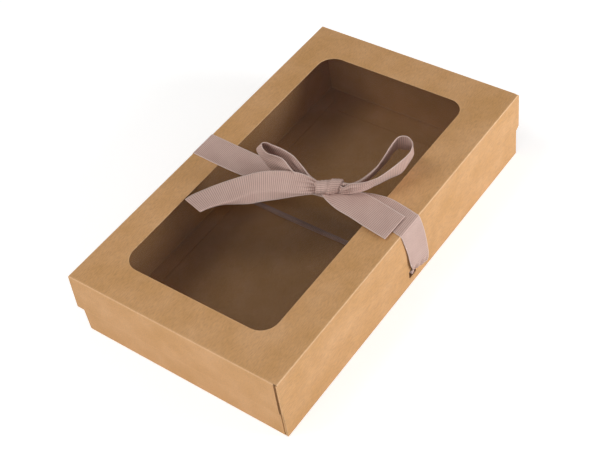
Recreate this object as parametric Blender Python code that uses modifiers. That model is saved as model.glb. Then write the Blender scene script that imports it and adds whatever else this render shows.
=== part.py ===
"""Gift box in kraft board with a hinged window lid, closed by a ribbon tied in a bow.

The box is folded from one blank: each panel between two creases is a separate object. X runs along
the box, +Y points to the back wall that carries the lid's crease, and +Z is up. The origin lies on the
surface that the box stands on, under the middle of the lid.
"""

import math

import bmesh
import bpy
from mathutils import Matrix, Vector

# Board and gaps
BOARD = 0.0005
CREASE_GAP = 0.0003

# Lid
LID_LENGTH = 0.330
LID_WIDTH = 0.193
BOX_HEIGHT = 0.062
LID_WALL_DEPTH = 0.0355
FRONT_WALL_FLARE = 0.0020
FAR_WALL_FLARE = 0.0024
NEAR_WALL_FLARE = 0.0004
CORNER_SLIT = 0.0010
LID_TAB_LENGTH = 0.018
LID_TAB_TAPER = 0.004

# Window and film
WINDOW_END_MARGIN = 0.0303
WINDOW_FRONT_MARGIN = 0.0265
WINDOW_BACK_MARGIN = 0.0305
WINDOW_RADIUS = 0.0145
FILM = 0.0002
FILM_OVERLAP = 0.010

# Base
NEAR_INSET = 0.0008
FAR_INSET = 0.0041
FRONT_INSET = 0.0028
WALL_HOLLOW = 0.0044
RIM_DROP = 0.0006
BACK_STEP_RISE = 0.0025
FOLD_RETURN = 0.0012
FOLD_JOG = 0.0022
TAB_LENGTH = 0.033
TAB_TAPER = 0.004
CORNER_GAP = 0.0012

# Floor flaps and their perforated creases
END_FLAP_WIDTH = 0.0222
FRONT_FLAP_WIDTH = 0.0125
FLAP_END_CHAMFER = 0.006
PERFORATION_RADIUS = 0.00065
PERFORATION_PITCH = 0.0058
PERFORATION_INSET = 0.0014
FRONT_ROW_START = -0.010
FRONT_ROW_LENGTH = 0.074
END_ROW_START = -0.056
END_ROW_LENGTH = 0.078

# Ribbon slots
SLOT_WIDTH = 0.0094
SLOT_HEIGHT = 0.0080
SLOT_SILL = 0.0075
SLOT_RADIUS = 0.0012

# Ribbon
RIBBON_WIDTH = 0.025
RIBBON = 0.0005
STRAND_WIDTH = 0.0036
STRAND_DEPTH = 0.0026
STRAND_SAG = 0.0008
STRAP_BULGE = 0.0012
STRAP_DRIFT = 0.0072

# Knot and bow
KNOT_X = -0.0006
KNOT_TO_BACK_EDGE = 0.0715
KNOT_LENGTH = 0.0215
KNOT_WIDTH = 0.0126
KNOT_HEIGHT = 0.0118
KNOT_TURN = math.radians(35.5)
KNOT_WRAPS = 2
LEFT_LOOP_LENGTH = 0.056
LEFT_LOOP_ROLL = math.radians(48)
RIGHT_LOOP_LENGTH = 0.060
LEFT_TAIL_LENGTH = 0.086
RIGHT_TAIL_LENGTH = 0.060
RIGHT_LOOP_UPRIGHT = (0.19, 0.27, 0.94)
ROOT_GAP = 0.0008

# Shares of the ribbon's width: how far the top run drifts from the middle at the front and the back
FRONT_DRIFT_SHARE = 0.17
BACK_DRIFT_SHARE = -0.04

# Shares of the knot: its end radius, the waist between its wraps, and how full it stays to the ends
KNOT_END_SHARE = 0.62
KNOT_WAIST_SHARE = 0.10
KNOT_FULLNESS = 6

# Shares of the knot's width and height: how far off its axis each loop leaves it
LEFT_ROOT_SHARES = (-0.35, -0.12)
RIGHT_ROOT_SHARES = (0.30, 0)

# Smoothness: cells along a ribbon, across it, and around an arc
RIBBON_CELLS = 22
RIBBON_CELLS_ACROSS = 2
ARC_STEPS = 8
STRAND_CELLS = 12
KNOT_SIDES = 28
KNOT_RINGS = 18
TANGENT_SHARE = 0.04
LEAST_MITRE = 0.5
MERGE_DISTANCE = 0.00001

# Places worked out from the sizes above
LID_X = LID_LENGTH / 2
LID_Y = LID_WIDTH / 2
LID_UNDERSIDE = BOX_HEIGHT - BOARD
WALL_TOP = LID_UNDERSIDE - CREASE_GAP
LID_WALL_FOOT = WALL_TOP - LID_WALL_DEPTH
NEAR_FACE = LID_X - NEAR_INSET
FAR_FACE = -LID_X + FAR_INSET
FRONT_FACE = -LID_Y + FRONT_INSET
BACK_INSIDE = LID_Y - BOARD
RIM_TOP = LID_UNDERSIDE - RIM_DROP
BASE_WALL_TOP = RIM_TOP - BOARD - CREASE_GAP
RIM_WIDTH = WALL_HOLLOW + BOARD
NEAR_LINER_FACE = NEAR_FACE - RIM_WIDTH
FAR_LINER_FACE = FAR_FACE + RIM_WIDTH
FRONT_LINER_FACE = FRONT_FACE + RIM_WIDTH + BOARD + CREASE_GAP
END_WALL_BACK = LID_Y - BOARD - FOLD_RETURN - CREASE_GAP
FLAP_LEVEL = BOARD + CREASE_GAP
RIBBON_REST = BOX_HEIGHT + CREASE_GAP + RIBBON / 2
KNOT_Y = LID_Y - KNOT_TO_BACK_EDGE
SLOT_LEVEL = SLOT_SILL + SLOT_HEIGHT / 2
KNOT_CENTRE = Vector((KNOT_X, KNOT_Y, RIBBON_REST + RIBBON / 2 + CREASE_GAP + KNOT_HEIGHT / 2))
KNOT_AXIS = Vector((-math.sin(KNOT_TURN), math.cos(KNOT_TURN), 0))
KNOT_SIDE = Vector((math.cos(KNOT_TURN), math.sin(KNOT_TURN), 0))
UP = Vector((0, 0, 1))


def fresh_collection(name):
    """An empty scene, and the collection that holds the box."""
    for obj in list(bpy.data.objects):
        bpy.data.objects.remove(obj, do_unlink=True)
    collection = bpy.data.collections.new(name)
    bpy.context.scene.collection.children.link(collection)
    return collection


def finish_material(name, colour, roughness, alpha):
    """A Principled BSDF with one colour, roughness and alpha."""
    made = bpy.data.materials.new(name)
    made.use_nodes = True
    shader = made.node_tree.nodes["Principled BSDF"]
    shader.inputs["Base Color"].default_value = (*colour, 1)
    shader.inputs["Roughness"].default_value = roughness
    shader.inputs["Metallic"].default_value = 0
    shader.inputs["Alpha"].default_value = alpha
    return made


def kraft(name):
    return finish_material(name + "_kraft_board", (0.55, 0.33, 0.17), 0.85, 1)


def film(name):
    return finish_material(name + "_clear_film", (0.9, 0.9, 0.9), 0.08, 0.3)


def grosgrain(name):
    return finish_material(name + "_grosgrain", (0.53, 0.38, 0.35), 0.7, 1)


def place(obj, name, material, body):
    """Names the object, gives it its material and hangs it on the body that carries it."""
    obj.name = name
    obj.data.name = name
    obj.data.materials.clear()
    obj.data.materials.append(material(name))
    BOX.objects.link(obj)
    if body is not None:
        obj.parent = body
        obj.matrix_parent_inverse = Matrix.Translation(-body.location)
    return obj


def arc_corner(before, corner, after, radius):
    """The points of a corner rounded to a radius."""
    into = (Vector(before) - Vector(corner)).normalized()
    out = (Vector(after) - Vector(corner)).normalized()
    half = into.angle(out) / 2
    centre = Vector(corner) + (into + out).normalized() * radius / math.sin(half)
    start = Vector(corner) + into * radius / math.tan(half) - centre
    end = Vector(corner) + out * radius / math.tan(half) - centre
    turn = start.angle_signed(end)
    return [centre + Matrix.Rotation(-turn * i / ARC_STEPS, 2) @ start for i in range(ARC_STEPS + 1)]


def rounded(corners, radius):
    """A closed outline with every corner rounded."""
    count = len(corners)
    points = []
    for i, corner in enumerate(corners):
        points += arc_corner(corners[i - 1], corner, corners[(i + 1) % count], radius)
    return points


def rectangle(left, right, low, high):
    return [(left, low), (right, low), (right, high), (left, high)]


def circle(x, y, radius, sides):
    turns = [2 * math.pi * i / sides for i in range(sides)]
    return [(x + radius * math.cos(turn), y + radius * math.sin(turn)) for turn in turns]


def flat_plate(name, outline, holes, thickness, origin, across, along, material, body=None):
    """A flat outline with holes, extruded to both sides of the plane that holds across and along."""
    curve = bpy.data.curves.new(name, "CURVE")
    curve.dimensions = "2D"
    curve.fill_mode = "BOTH"
    curve.extrude = thickness / 2
    for loop in [outline, *holes]:
        spline = curve.splines.new("POLY")
        spline.points.add(len(loop) - 1)
        for point, (u, v) in zip(spline.points, loop):
            point.co = (u, v, 0, 1)
        spline.use_cyclic_u = True
    obj = bpy.data.objects.new(name, curve)
    across = Vector(across).normalized()
    along = Vector(along).normalized()
    turn = Matrix((across, along, across.cross(along))).transposed().to_4x4()
    obj.matrix_basis = Matrix.Translation(origin) @ turn
    return place(obj, name, material, body)


def thick_line(points, thickness):
    """The closed outline of an open line of board seen on edge, with mitred bends."""
    sides = []
    last = len(points) - 1
    for i, point in enumerate(points):
        here = Vector(point)
        before = (here - Vector(points[max(i - 1, 0)])).normalized() if i else None
        after = (Vector(points[min(i + 1, last)]) - here).normalized() if i < last else None
        way = ((before or after) + (after or before)).normalized()
        normal = Vector((-way.y, way.x))
        stretch = 1 / max(way.dot(after or before), LEAST_MITRE)
        sides.append((here, normal * stretch * thickness / 2))
    return [here + side for here, side in sides] + [here - side for here, side in reversed(sides)]


def smooth_through(rows, share):
    """Values read at a share of the way along a smooth curve through the rows."""
    place_on = share * (len(rows) - 1)
    i = min(int(place_on), len(rows) - 2)
    t = place_on - i
    p1 = rows[i]
    p2 = rows[i + 1]
    p0 = rows[i - 1] if i else [2 * a - b for a, b in zip(p1, p2)]
    p3 = rows[i + 2] if i + 2 < len(rows) else [2 * b - a for a, b in zip(p1, p2)]
    values = []
    for a, b, c, d in zip(p0, p1, p2, p3):
        square = 2 * a - 5 * b + 4 * c - d
        cube = 3 * b - a - 3 * c + d
        values.append(b + ((c - a) * t + square * t**2 + cube * t**3) / 2)
    return values


def ribbon_band(name, stations, thickness, body=None):
    """A ribbon from its stations, each a middle point and the vector from one selvedge to the other."""
    mesh = bpy.data.meshes.new(name)
    bm = bmesh.new()
    rows = []
    for middle, width in stations:
        shares = [j / RIBBON_CELLS_ACROSS - 0.5 for j in range(RIBBON_CELLS_ACROSS + 1)]
        rows.append([bm.verts.new(middle + width * share) for share in shares])
    for row, following in zip(rows, rows[1:]):
        for j in range(RIBBON_CELLS_ACROSS):
            bm.faces.new((row[j], row[j + 1], following[j + 1], following[j]))
    bm.normal_update()
    bm.to_mesh(mesh)
    bm.free()
    mesh.shade_smooth()
    obj = bpy.data.objects.new(name, mesh)
    solidify = obj.modifiers.new("thickness", "SOLIDIFY")
    solidify.thickness = thickness
    solidify.offset = 0
    solidify.use_even_offset = True
    return place(obj, name, grosgrain, body)


def stations_along(rows, count):
    """Stations read from rows of middle x, y, z and width vector x, y, z."""
    read = [smooth_through(rows, i / count) for i in range(count + 1)]
    return [(Vector(values[:3]), Vector(values[3:])) for values in read]


# Base: floor and outer walls

def base_floor():
    edge = BOARD + CREASE_GAP
    outline = rectangle(FAR_FACE + edge, NEAR_FACE - edge, FRONT_FACE + edge, BACK_INSIDE - CREASE_GAP)
    flat_plate("base_floor", outline, [], BOARD, (0, 0, BOARD / 2), (1, 0, 0), (0, 1, 0), kraft)


def slot_outline():
    """The punched slot that the ribbon is drawn through, in a wall's X and Z."""
    corners = rectangle(-SLOT_WIDTH / 2, SLOT_WIDTH / 2, SLOT_SILL, SLOT_SILL + SLOT_HEIGHT)
    return rounded(corners, SLOT_RADIUS)


def back_wall():
    """The full height wall at the crease: as wide as the lid above, as wide as the base below."""
    step = LID_WALL_FOOT - BACK_STEP_RISE / 2
    near_foot = NEAR_FACE + BOARD
    outline = [
        (FAR_FACE, 0),
        (near_foot, 0),
        (near_foot, step),
        (LID_X, step + BACK_STEP_RISE),
        (LID_X, WALL_TOP),
        (-LID_X, WALL_TOP),
        (-LID_X, step + BACK_STEP_RISE),
        (FAR_FACE, step),
    ]
    middle = (0, LID_Y - BOARD / 2, 0)
    flat_plate("back_wall", outline, [slot_outline()], BOARD, middle, (1, 0, 0), (0, 0, 1), kraft)


def front_wall():
    outline = rectangle(FAR_FACE, NEAR_FACE, 0, BASE_WALL_TOP)
    middle = (0, FRONT_FACE + BOARD / 2, 0)
    flat_plate("front_wall", outline, [slot_outline()], BOARD, middle, (1, 0, 0), (0, 0, 1), kraft)


def front_rim():
    """The narrow top of the hollow front wall."""
    outline = rectangle(FAR_FACE, NEAR_FACE, FRONT_FACE, FRONT_FACE + RIM_WIDTH + BOARD)
    level = (0, 0, RIM_TOP - BOARD / 2)
    flat_plate("front_rim", outline, [], BOARD, level, (1, 0, 0), (0, 1, 0), kraft)


def end_wall(end, face, inward):
    """An outer end wall, with its rear edge held back from the corner fold."""
    front = FRONT_FACE + BOARD + CREASE_GAP
    outline = rectangle(front, END_WALL_BACK - CORNER_SLIT, 0, BASE_WALL_TOP)
    middle = (face + inward * BOARD / 2, 0, 0)
    flat_plate("end_wall_" + end, outline, [], BOARD, middle, (0, 1, 0), (0, 0, 1), kraft)


def end_rim(end, face, inward):
    """The narrow top of a hollow end wall."""
    start = FRONT_FACE + RIM_WIDTH + BOARD + CREASE_GAP
    left, right = sorted((face, face + inward * RIM_WIDTH))
    outline = rectangle(left, right, start, END_WALL_BACK - CORNER_SLIT)
    level = (0, 0, RIM_TOP - BOARD / 2)
    flat_plate("end_rim_" + end, outline, [], BOARD, level, (1, 0, 0), (0, 1, 0), kraft)


# Base: inner walls, flaps on the floor, and tabs inside the hollow walls

def front_liner():
    far = FAR_LINER_FACE + CORNER_GAP
    near = NEAR_LINER_FACE - CORNER_GAP
    outline = rectangle(far, near, FLAP_LEVEL, BASE_WALL_TOP)
    middle = (0, FRONT_LINER_FACE - BOARD / 2 - CREASE_GAP, 0)
    flat_plate("front_liner", outline, [slot_outline()], BOARD, middle, (1, 0, 0), (0, 0, 1), kraft)


def end_liner(end, liner_face, outward):
    outline = rectangle(FRONT_LINER_FACE, BACK_INSIDE - CREASE_GAP, FLAP_LEVEL, BASE_WALL_TOP)
    middle = (liner_face + outward * (BOARD / 2 + CREASE_GAP), 0, 0)
    flat_plate("end_liner_" + end, outline, [], BOARD, middle, (0, 1, 0), (0, 0, 1), kraft)


def perforations(start, length, level, swap):
    """A row of punched holes, PERFORATION_PITCH apart."""
    holes = []
    for i in range(int(length / PERFORATION_PITCH) + 1):
        along = start + i * PERFORATION_PITCH
        x, y = (level, along) if swap else (along, level)
        holes.append(circle(x, y, PERFORATION_RADIUS, ARC_STEPS))
    return holes


def front_flap():
    """The front liner's foot, folded onto the floor, with mitred ends."""
    crease = FRONT_LINER_FACE
    edge = crease + FRONT_FLAP_WIDTH
    near = NEAR_LINER_FACE - CREASE_GAP
    far = FAR_LINER_FACE + CREASE_GAP
    reach = FRONT_FLAP_WIDTH + CREASE_GAP
    outline = [
        (far + CREASE_GAP, crease),
        (near - CREASE_GAP, crease),
        (near - reach, edge),
        (far + reach, edge),
    ]
    holes = perforations(FRONT_ROW_START, FRONT_ROW_LENGTH, crease + PERFORATION_INSET, False)
    level = (0, 0, FLAP_LEVEL + BOARD / 2)
    flat_plate("front_flap", outline, holes, BOARD, level, (1, 0, 0), (0, 1, 0), kraft)


def end_flap(end, liner_face, inward):
    """An end liner's foot, folded onto the floor: mitred at the front, chamfered at the back."""
    crease = liner_face + inward * CREASE_GAP
    edge = crease + inward * END_FLAP_WIDTH
    front = FRONT_LINER_FACE + CREASE_GAP
    back = BACK_INSIDE - CREASE_GAP
    outline = [
        (crease, front),
        (edge, front + END_FLAP_WIDTH),
        (edge, back - FLAP_END_CHAMFER),
        (edge - inward * FLAP_END_CHAMFER, back),
        (crease, back),
    ]
    holes = perforations(END_ROW_START, END_ROW_LENGTH, crease + inward * PERFORATION_INSET, True)
    level = (0, 0, FLAP_LEVEL + BOARD / 2)
    flat_plate("end_flap_" + end, outline, holes, BOARD, level, (1, 0, 0), (0, 1, 0), kraft)


def back_tab(end, face, inward):
    """The back wall's side tab: it turns the corner, jogs inwards and runs inside the hollow end wall."""
    outside = face + inward * BOARD / 2
    inside = outside + inward * FOLD_JOG
    corner = BACK_INSIDE - CREASE_GAP
    line = [
        (outside, corner),
        (outside, corner - FOLD_RETURN),
        (inside, corner - FOLD_RETURN - FOLD_JOG),
        (inside, corner - TAB_LENGTH),
    ]
    height = BASE_WALL_TOP - FLAP_LEVEL
    middle = (0, 0, FLAP_LEVEL + height / 2)
    flat_plate("back_tab_" + end, thick_line(line, BOARD), [], height, middle, (1, 0, 0), (0, 1, 0), kraft)


def front_tab(end, face, inward):
    """The front wall's side tab, behind the outer end wall."""
    start = FRONT_FACE + BOARD + CREASE_GAP
    outline = [
        (start, FLAP_LEVEL),
        (start + TAB_LENGTH, FLAP_LEVEL + TAB_TAPER),
        (start + TAB_LENGTH, BASE_WALL_TOP - TAB_TAPER),
        (start, BASE_WALL_TOP),
    ]
    middle = (face + inward * (BOARD + CREASE_GAP + BOARD / 2), 0, 0)
    flat_plate("front_tab_" + end, outline, [], BOARD, middle, (0, 1, 0), (0, 0, 1), kraft)


# Lid

def window_corners(grow):
    """The window's corners, moved outwards by grow."""
    left = -LID_X + WINDOW_END_MARGIN - grow
    right = LID_X - WINDOW_END_MARGIN + grow
    front = -LID_Y + WINDOW_FRONT_MARGIN - grow
    back = LID_Y - WINDOW_BACK_MARGIN + grow
    return rectangle(left, right, front, back)


def lid_panel(lid):
    outline = rectangle(-LID_X, LID_X, -LID_Y, LID_Y)
    window = rounded(window_corners(0), WINDOW_RADIUS)
    level = (0, 0, BOX_HEIGHT - BOARD / 2)
    flat_plate("lid_panel", outline, [window], BOARD, level, (1, 0, 0), (0, 1, 0), kraft, lid)


def window_film(lid):
    """The clear film glued behind the window."""
    level = (0, 0, LID_UNDERSIDE - CREASE_GAP - FILM / 2)
    outline = window_corners(FILM_OVERLAP)
    flat_plate("window_film", outline, [], FILM, level, (1, 0, 0), (0, 1, 0), film, lid)


def lid_front_wall(lid):
    """The lid's front wall, leaning out towards its foot."""
    lean = Vector((0, FRONT_WALL_FLARE, LID_WALL_DEPTH))
    foot = -lean.length
    outline = [(-LID_X, 0), (-LID_X - FAR_WALL_FLARE, foot), (LID_X + NEAR_WALL_FLARE, foot), (LID_X, 0)]
    crease = (0, -LID_Y + BOARD / 2, WALL_TOP)
    flat_plate("lid_front_wall", outline, [], BOARD, crease, (1, 0, 0), lean, kraft, lid)


def lid_end_wall(end, outward, flare, lid):
    """A lid end wall, from the leaning front wall back to the corner slit."""
    lean = Vector((-outward * flare, 0, LID_WALL_DEPTH))
    foot = -lean.length
    start = -LID_Y + BOARD + CREASE_GAP
    back = END_WALL_BACK - CORNER_SLIT
    outline = [(start, 0), (start - FRONT_WALL_FLARE, foot), (back, foot), (back, 0)]
    crease = (outward * (LID_X - BOARD / 2), 0, WALL_TOP)
    flat_plate("lid_end_wall_" + end, outline, [], BOARD, crease, (0, 1, 0), lean, kraft, lid)


def lid_tab(end, outward, lid):
    """The end wall's tab, glued behind the lid's front wall."""
    lean = Vector((0, FRONT_WALL_FLARE, LID_WALL_DEPTH))
    foot = LID_TAB_TAPER - lean.length
    corner = outward * (LID_X - BOARD - CREASE_GAP)
    tip = corner - outward * LID_TAB_LENGTH
    outline = [(corner, -BOARD), (corner, foot), (tip, foot + LID_TAB_TAPER), (tip, -LID_TAB_TAPER)]
    crease = (0, -LID_Y + BOARD + CREASE_GAP + BOARD / 2, WALL_TOP)
    flat_plate("lid_tab_" + end, outline, [], BOARD, crease, (1, 0, 0), lean, kraft, lid)


# Ribbon round the box

def ribbon_top_run(lid):
    """The ribbon across the lid, drawn together under the knot."""
    shares = [
        (-1.000, FRONT_DRIFT_SHARE, 1.00),
        (-0.720, 0.21, 1.00),
        (-0.440, 0.22, 0.96),
        (-0.160, 0.15, 0.82),
        (0.060, 0.05, 0.62),
        (0.280, -0.04, 0.52),
        (0.500, -0.15, 0.78),
        (0.700, -0.21, 0.98),
        (0.860, -0.14, 1.00),
        (1.000, BACK_DRIFT_SHARE, 1.00),
    ]
    front = -LID_Y - CREASE_GAP - RIBBON
    back = LID_Y - 2 * CREASE_GAP - RIBBON
    rows = []
    for along, drift, width in shares:
        y = front + (back - front) * (along + 1) / 2
        rows.append((RIBBON_WIDTH * drift, y, RIBBON_REST, RIBBON_WIDTH * width, 0, 0))
    ribbon_band("ribbon_top_run", stations_along(rows, RIBBON_CELLS), RIBBON, lid)


def strap_rows(top_x, drift, wall_top, wall_foot, slot_face, side):
    """Stations of a strap that runs down a wall and gathers into its slot. side is +1 at the back.

    Each row holds how far down the lid's wall it is, how far on from there to the slot, how far along
    its drift, its width in ribbon widths, how full its bulge is, and how far it has come in to the slot.
    """
    stand_off = side * (CREASE_GAP + RIBBON / 2)
    mouth = slot_face + stand_off
    slot_share = (SLOT_WIDTH - 2 * CREASE_GAP) / RIBBON_WIDTH
    shares = [
        (0.00, 0.0, 0.0, 1.00, 0.0, 0.0),
        (0.33, 0.0, 0.5, 1.00, 0.1, 0.0),
        (0.67, 0.0, 0.9, 0.98, 0.4, 0.0),
        (1.00, 0.0, 1.0, 0.94, 0.9, 0.0),
        (1.00, 0.5, 1.0, 0.88, 1.0, 0.4),
        (1.00, 1.0, 1.0, slot_share, 1.0, 1.0),
    ]
    rows = []
    for wall, below, drifted, width, bulged, inwards in shares:
        on_wall = wall_top + (wall_foot - wall_top) * wall + stand_off + side * STRAP_BULGE * bulged
        x = (top_x + (drift - top_x) * drifted) * (1 - inwards**2)
        y = on_wall + (mouth - on_wall) * inwards
        z = BOX_HEIGHT + (LID_WALL_FOOT - BOX_HEIGHT) * wall + (SLOT_LEVEL - LID_WALL_FOOT) * below
        rows.append((x, y, z, RIBBON_WIDTH * width, 0, 0))
    return rows


def ribbon_front_strap(lid):
    """The strap down the lid's front wall, in line with the front slot at its foot."""
    top_x = RIBBON_WIDTH * FRONT_DRIFT_SHARE
    rows = strap_rows(top_x, 0, -LID_Y, -LID_Y - FRONT_WALL_FLARE, FRONT_FACE, -1)
    ribbon_band("ribbon_front_strap", stations_along(rows, RIBBON_CELLS), RIBBON, lid)


def ribbon_back_strap():
    """The strap down the back wall, sagging to one side of the back slot."""
    top_x = RIBBON_WIDTH * BACK_DRIFT_SHARE
    rows = strap_rows(top_x, -STRAP_DRIFT, LID_Y, LID_Y, LID_Y, 1)
    ribbon_band("ribbon_back_strap", stations_along(rows, RIBBON_CELLS), RIBBON)


def ribbon_inner_run():
    """The ribbon bunched into a strand, drawn from slot to slot across the inside."""
    front = FRONT_FACE + CREASE_GAP - BOARD
    back = LID_Y - CREASE_GAP
    stations = []
    for i in range(STRAND_CELLS + 1):
        share = i / STRAND_CELLS
        sag = STRAND_SAG * (1 - (2 * share - 1) ** 2)
        middle = Vector((0, front + (back - front) * share, SLOT_LEVEL - sag))
        stations.append((middle, Vector((STRAND_WIDTH, 0, 0))))
    ribbon_band("ribbon_inner_run", stations, STRAND_DEPTH)


# Bow

def bow_knot(lid):
    """The knot: a waisted roll of wraps, turned about its own axis and then set across the ribbon."""
    mesh = bpy.data.meshes.new("bow_knot")
    bm = bmesh.new()
    verts = []
    for i in range(KNOT_RINGS + 1):
        share = i / KNOT_RINGS
        swell = 1 - (2 * share - 1) ** KNOT_FULLNESS
        waist = 1 - KNOT_WAIST_SHARE * (1 + math.cos(2 * math.pi * KNOT_WRAPS * share)) / 2
        radius = KNOT_HEIGHT / 2 * (KNOT_END_SHARE + (1 - KNOT_END_SHARE) * swell) * waist
        verts.append(bm.verts.new((radius, 0, KNOT_LENGTH / 2 - KNOT_LENGTH * share)))
    for a, b in zip(verts, verts[1:]):
        bm.edges.new((a, b))
    top = bm.verts.new((0, 0, KNOT_LENGTH / 2))
    bottom = bm.verts.new((0, 0, -KNOT_LENGTH / 2))
    bm.edges.new((top, verts[0]))
    bm.edges.new((verts[-1], bottom))
    bm.to_mesh(mesh)
    bm.free()
    obj = bpy.data.objects.new("bow_knot", mesh)
    screw = obj.modifiers.new("turned", "SCREW")
    screw.axis = "Z"
    screw.steps = KNOT_SIDES
    screw.render_steps = KNOT_SIDES
    screw.use_merge_vertices = True
    screw.merge_threshold = MERGE_DISTANCE
    screw.use_smooth_shade = True
    widen = KNOT_WIDTH / KNOT_HEIGHT
    turn = Matrix((KNOT_SIDE * widen, UP, -KNOT_AXIS)).transposed().to_4x4()
    obj.matrix_basis = Matrix.Translation(KNOT_CENTRE) @ turn
    place(obj, "bow_knot", grosgrain, lid)


def knot_end(end, shares):
    """A point just clear of one end of the knot, off its axis by shares of its width and height."""
    aside, up = shares
    off_axis = KNOT_SIDE * KNOT_WIDTH * aside + UP * KNOT_HEIGHT * up
    return KNOT_CENTRE + KNOT_AXIS * end * (KNOT_LENGTH / 2 + ROOT_GAP) + off_axis


def loop_stations(root, upright, length, roll, rows):
    """A ribbon on edge round a long loop: out from the knot, round the tip and back.

    Each row, from the knot to the tip, holds the middle's X, Y and Z in loop lengths, then in ribbon
    widths the half spread of the two strands, the gathered width and how far the upper selvedge leans
    back. The first strand rolls over towards the second.
    """
    stations = []
    for i in range(2 * RIBBON_CELLS + 1):
        turn = math.pi * i / (2 * RIBBON_CELLS)
        out = math.sin(turn)
        first = math.cos(turn)
        ahead = smooth_through(rows, min(out + TANGENT_SHARE, 1))
        behind = smooth_through(rows, max(out - TANGENT_SHARE, 0))
        x, y, z, spread, width, lean = smooth_through(rows, out)
        along = (Vector(ahead[:3]) - Vector(behind[:3])).normalized()
        side = along.cross(upright).normalized()
        lying = roll * (1 + first) / 2
        rise = upright * math.cos(lying) - side * math.sin(lying)
        middle = root + Vector((x, y, z)) * length + side * RIBBON_WIDTH * spread * first
        stations.append((middle, (rise * width - along * lean) * RIBBON_WIDTH))
    return stations


def bow_loop_left(lid):
    """The loop at the front, its far strand lying over towards the near one."""
    shares = [
        (0.00, 0.00, 0.00, 0.04, 0.16, 0.00),
        (-0.07, -0.25, 0.03, 0.10, 0.36, 0.08),
        (-0.09, -0.49, 0.10, 0.23, 0.80, 0.18),
        (-0.08, -0.73, 0.15, 0.34, 0.94, 0.40),
        (-0.12, -0.97, 0.19, 0.40, 0.84, 0.54),
    ]
    root = knot_end(-1, LEFT_ROOT_SHARES)
    stations = loop_stations(root, UP, LEFT_LOOP_LENGTH, LEFT_LOOP_ROLL, shares)
    ribbon_band("bow_loop_left", stations, RIBBON, lid)


def bow_loop_right(lid):
    """The loop at the back, standing on edge."""
    shares = [
        (0.00, 0.00, 0.00, 0.04, 0.20, 0.00),
        (-0.16, 0.21, 0.03, 0.08, 0.46, 0.00),
        (-0.40, 0.33, 0.07, 0.20, 0.88, 0.00),
        (-0.65, 0.37, 0.12, 0.46, 1.00, 0.00),
        (-0.92, 0.40, 0.18, 0.70, 1.00, 0.00),
    ]
    upright = Vector(RIGHT_LOOP_UPRIGHT).normalized()
    root = knot_end(1, RIGHT_ROOT_SHARES)
    stations = loop_stations(root, upright, RIGHT_LOOP_LENGTH, 0, shares)
    ribbon_band("bow_loop_right", stations, RIBBON, lid)


def tail_rows(shares, length):
    """Rows of a tail: the middle's X and Y in tail lengths, height and width in ribbon widths."""
    rows = []
    for x, y, rise, wide_x, wide_y, wide_z in shares:
        middle = (KNOT_X + length * x, KNOT_Y + length * y, RIBBON_REST + RIBBON_WIDTH * rise)
        rows.append((*middle, RIBBON_WIDTH * wide_x, RIBBON_WIDTH * wide_y, RIBBON_WIDTH * wide_z))
    return rows


def bow_tail_left(lid):
    """The long tail, from under the left end of the knot over the window."""
    shares = [
        (0.09, -0.12, 0.21, -0.36, -0.10, 0.34),
        (0.09, -0.18, 0.27, -0.55, -0.20, 0.46),
        (0.13, -0.27, 0.26, -0.69, -0.25, 0.43),
        (0.19, -0.38, 0.25, -0.91, -0.22, 0.39),
        (0.32, -0.57, 0.21, -0.97, -0.32, 0.30),
        (0.48, -0.77, 0.17, -0.84, -0.46, 0.22),
        (0.64, -0.94, 0.12, -0.85, -0.50, 0.12),
    ]
    rows = tail_rows(shares, LEFT_TAIL_LENGTH)
    ribbon_band("bow_tail_left", stations_along(rows, RIBBON_CELLS), RIBBON, lid)


def bow_tail_right(lid):
    """The short tail, from under the knot along the ribbon to the back edge."""
    shares = [
        (0.063, 0.140, 0.072, -0.50, 0.36, 0.00),
        (0.068, 0.333, 0.062, -0.84, 0.26, 0.00),
        (0.110, 0.583, 0.054, -0.99, 0.04, 0.00),
        (0.127, 0.833, 0.050, -1.00, 0.00, 0.00),
        (0.133, 1.080, 0.050, -1.01, 0.00, 0.00),
    ]
    rows = tail_rows(shares, RIGHT_TAIL_LENGTH)
    ribbon_band("bow_tail_right", stations_along(rows, RIBBON_CELLS), RIBBON, lid)


def crease_axis():
    """The lid turns about the crease at the top of the back wall."""
    hinge = bpy.data.objects.new("lid_crease", None)
    hinge.location = (0, LID_Y, BOX_HEIGHT)
    hinge.empty_display_size = LID_WALL_DEPTH
    BOX.objects.link(hinge)
    return hinge


BOX = fresh_collection("gift_box")
LID = crease_axis()

base_floor()
back_wall()
front_wall()
front_rim()
front_liner()
front_flap()
for end_name, outer_face, inner_face, inward_x in (
    ("near", NEAR_FACE, NEAR_LINER_FACE, -1),
    ("far", FAR_FACE, FAR_LINER_FACE, 1),
):
    end_wall(end_name, outer_face, inward_x)
    end_rim(end_name, outer_face, inward_x)
    end_liner(end_name, inner_face, -inward_x)
    end_flap(end_name, inner_face, inward_x)
    back_tab(end_name, outer_face, inward_x)
    front_tab(end_name, outer_face, inward_x)
ribbon_inner_run()
ribbon_back_strap()

lid_panel(LID)
window_film(LID)
lid_front_wall(LID)
for end_name, outward_x, wall_flare in (("near", 1, NEAR_WALL_FLARE), ("far", -1, FAR_WALL_FLARE)):
    lid_end_wall(end_name, outward_x, wall_flare, LID)
    lid_tab(end_name, outward_x, LID)
ribbon_top_run(LID)
ribbon_front_strap(LID)
bow_knot(LID)
bow_loop_left(LID)
bow_loop_right(LID)
bow_tail_left(LID)
bow_tail_right(LID)
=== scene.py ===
"""The kraft board gift box with its window lid and ribbon bow, dressed for its picture.

Each board is one folded sheet with rounded creases, and the bow is gathered grosgrain ribbon.
"""

import math

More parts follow.
